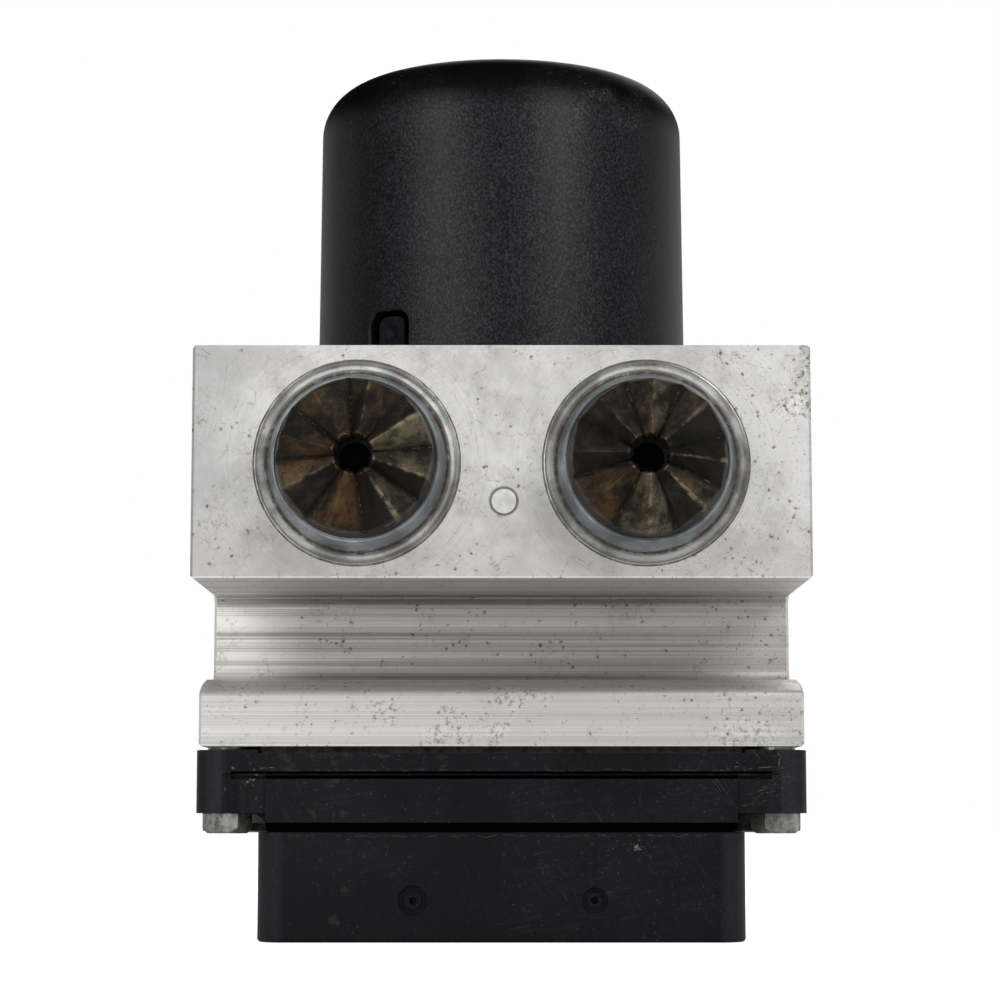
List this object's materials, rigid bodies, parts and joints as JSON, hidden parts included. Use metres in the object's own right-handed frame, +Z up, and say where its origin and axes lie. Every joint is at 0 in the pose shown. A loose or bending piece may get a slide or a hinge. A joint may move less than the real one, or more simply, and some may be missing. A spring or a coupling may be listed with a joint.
{
  "type": "abs brake module",
  "caption": "Brake pressure modulator: grooved aluminium valve block with pleated accumulator covers, round pump motor on top and a plastic controller below.",
  "frame": {"origin": "on the controller's flat bottom, straight below the motor shaft's axis", "axes": "+Z up along the motor shaft, +Y to the rear face with the brake line ports, -Y to the pleated covers, +X to the right seen from the front"},
  "size_m": [0.1214, 0.1284, 0.1824],
  "materials": {
    "milled_aluminium": "milled, light wear",
    "turned_aluminium": "turned, dull",
    "black_paint": "semi-matte",
    "oxidised_sheet": "oxidised, dirty",
    "black_plastic": "fine moulded grain",
    "zinc_steel": "zinc plated",
    "plain_steel": "ground",
    "spring_steel": "drawn wire",
    "brown_gasket": "aged",
    "black_rubber": "smooth",
    "board_green": "lacquered",
    "tinned_brass": "tinned",
    "copper": "enamelled",
    "laminated_steel": "laminated",
    "ferrite": "sintered",
    "carbon": "sintered carbon"
  },
  "bodies": {
    "rotor": {"motor_shaft": "plain_steel", "eccentric_ring": "plain_steel", "armature_core": "laminated_steel", "armature_winding": "copper", "commutator": "copper"},
    "accumulator_piston_body_left": {"accumulator_piston_left": "turned_aluminium", "accumulator_seal_left": "black_rubber"},
    "accumulator_piston_body_right": {"accumulator_piston_right": "turned_aluminium", "accumulator_seal_right": "black_rubber"},
    "pump_piston_body_left": {"pump_piston_left": "plain_steel"},
    "pump_piston_body_right": {"pump_piston_right": "plain_steel"},
    "inlet_plunger_body_1": {"inlet_plunger_1": "plain_steel"},
    "inlet_plunger_body_2": {"inlet_plunger_2": "plain_steel"},
    "inlet_plunger_body_3": {"inlet_plunger_3": "plain_steel"},
    "inlet_plunger_body_4": {"inlet_plunger_4": "plain_steel"},
    "outlet_plunger_body_1": {"outlet_plunger_1": "plain_steel"},
    "outlet_plunger_body_2": {"outlet_plunger_2": "plain_steel"},
    "outlet_plunger_body_3": {"outlet_plunger_3": "plain_steel"},
    "outlet_plunger_body_4": {"outlet_plunger_4": "plain_steel"},
    "housing": {"hydraulic_block": "milled_aluminium", "channel_plug": "turned_aluminium", "motor_can": "black_paint", "motor_end_plate": "plain_steel", "brush_plate": "black_plastic", "upper_bearing": "plain_steel", "lower_bearing": "plain_steel", "motor_screws": "zinc_steel", "motor_terminal": "black_plastic", "inlet_valves": "plain_steel", "outlet_valves": "plain_steel", "coil_yokes": "plain_steel", "valve_coils": "copper", "ecu_frame": "black_plastic", "ecu_gasket": "brown_gasket", "ecu_case": "black_plastic", "connector_pins": "tinned_brass", "circuit_board": "board_green", "ecu_screws": "zinc_steel", "ecu_bushes": "zinc_steel", "fluted_cover_left": "oxidised_sheet", "cover_cap_left": "turned_aluminium", "cover_collar_left": "turned_aluminium", "accumulator_spring_left": "spring_steel", "pump_spring_left": "spring_steel", "pump_plug_left": "plain_steel", "motor_brush_left": "carbon", "brush_spring_left": "spring_steel", "magnet_left": "ferrite", "fluted_cover_right": "oxidised_sheet", "cover_cap_right": "turned_aluminium", "cover_collar_right": "turned_aluminium", "accumulator_spring_right": "spring_steel", "pump_spring_right": "spring_steel", "pump_plug_right": "plain_steel", "motor_brush_right": "carbon", "brush_spring_right": "spring_steel", "magnet_right": "ferrite"}
  },
  "joints": [
    {"name": "rotor_spin", "type": "hinge", "parent": "housing", "child": "rotor", "pos_m": [0, 0, 0], "axis": [0, 0, 1], "continuous": true},
    {"name": "accumulator_slide_left", "type": "slide", "parent": "housing", "child": "accumulator_piston_body_left", "axis": [0, -1, 0], "range_m": [0, 0.01], "stiffness_N_per_m": 4000, "springref_m": -0.005, "deforming": ["accumulator_spring_left"]},
    {"name": "accumulator_slide_right", "type": "slide", "parent": "housing", "child": "accumulator_piston_body_right", "axis": [0, -1, 0], "range_m": [0, 0.01], "stiffness_N_per_m": 4000, "springref_m": -0.005, "deforming": ["accumulator_spring_right"]},
    {"name": "pump_slide_left", "type": "slide", "parent": "housing", "child": "pump_piston_body_left", "axis": [-1, 0, 0], "range_m": [0, 0.0024], "stiffness_N_per_m": 3000, "springref_m": -0.003, "deforming": ["pump_spring_left"]},
    {"name": "pump_slide_right", "type": "slide", "parent": "housing", "child": "pump_piston_body_right", "axis": [1, 0, 0], "range_m": [0, 0.0024], "stiffness_N_per_m": 3000, "springref_m": -0.003, "deforming": ["pump_spring_right"]},
    {"name": "inlet_valve_slide_1", "type": "slide", "parent": "housing", "child": "inlet_plunger_body_1", "axis": [0, 0, 1], "range_m": [0, 0.0004], "stiffness_N_per_m": 800, "springref_m": -0.001},
    {"name": "inlet_valve_slide_2", "type": "slide", "parent": "housing", "child": "inlet_plunger_body_2", "axis": [0, 0, 1], "range_m": [0, 0.0004], "stiffness_N_per_m": 800, "springref_m": -0.001},
    {"name": "inlet_valve_slide_3", "type": "slide", "parent": "housing", "child": "inlet_plunger_body_3", "axis": [0, 0, 1], "range_m": [0, 0.0004], "stiffness_N_per_m": 800, "springref_m": -0.001},
    {"name": "inlet_valve_slide_4", "type": "slide", "parent": "housing", "child": "inlet_plunger_body_4", "axis": [0, 0, 1], "range_m": [0, 0.0004], "stiffness_N_per_m": 800, "springref_m": -0.001},
    {"name": "outlet_valve_slide_1", "type": "slide", "parent": "housing", "child": "outlet_plunger_body_1", "axis": [0, 0, -1], "range_m": [0, 0.0004], "stiffness_N_per_m": 800, "springref_m": -0.001},
    {"name": "outlet_valve_slide_2", "type": "slide", "parent": "housing", "child": "outlet_plunger_body_2", "axis": [0, 0, -1], "range_m": [0, 0.0004], "stiffness_N_per_m": 800, "springref_m": -0.001},
    {"name": "outlet_valve_slide_3", "type": "slide", "parent": "housing", "child": "outlet_plunger_body_3", "axis": [0, 0, -1], "range_m": [0, 0.0004], "stiffness_N_per_m": 800, "springref_m": -0.001},
    {"name": "outlet_valve_slide_4", "type": "slide", "parent": "housing", "child": "outlet_plunger_body_4", "axis": [0, 0, -1], "range_m": [0, 0.0004], "stiffness_N_per_m": 800, "springref_m": -0.001}
  ]
}
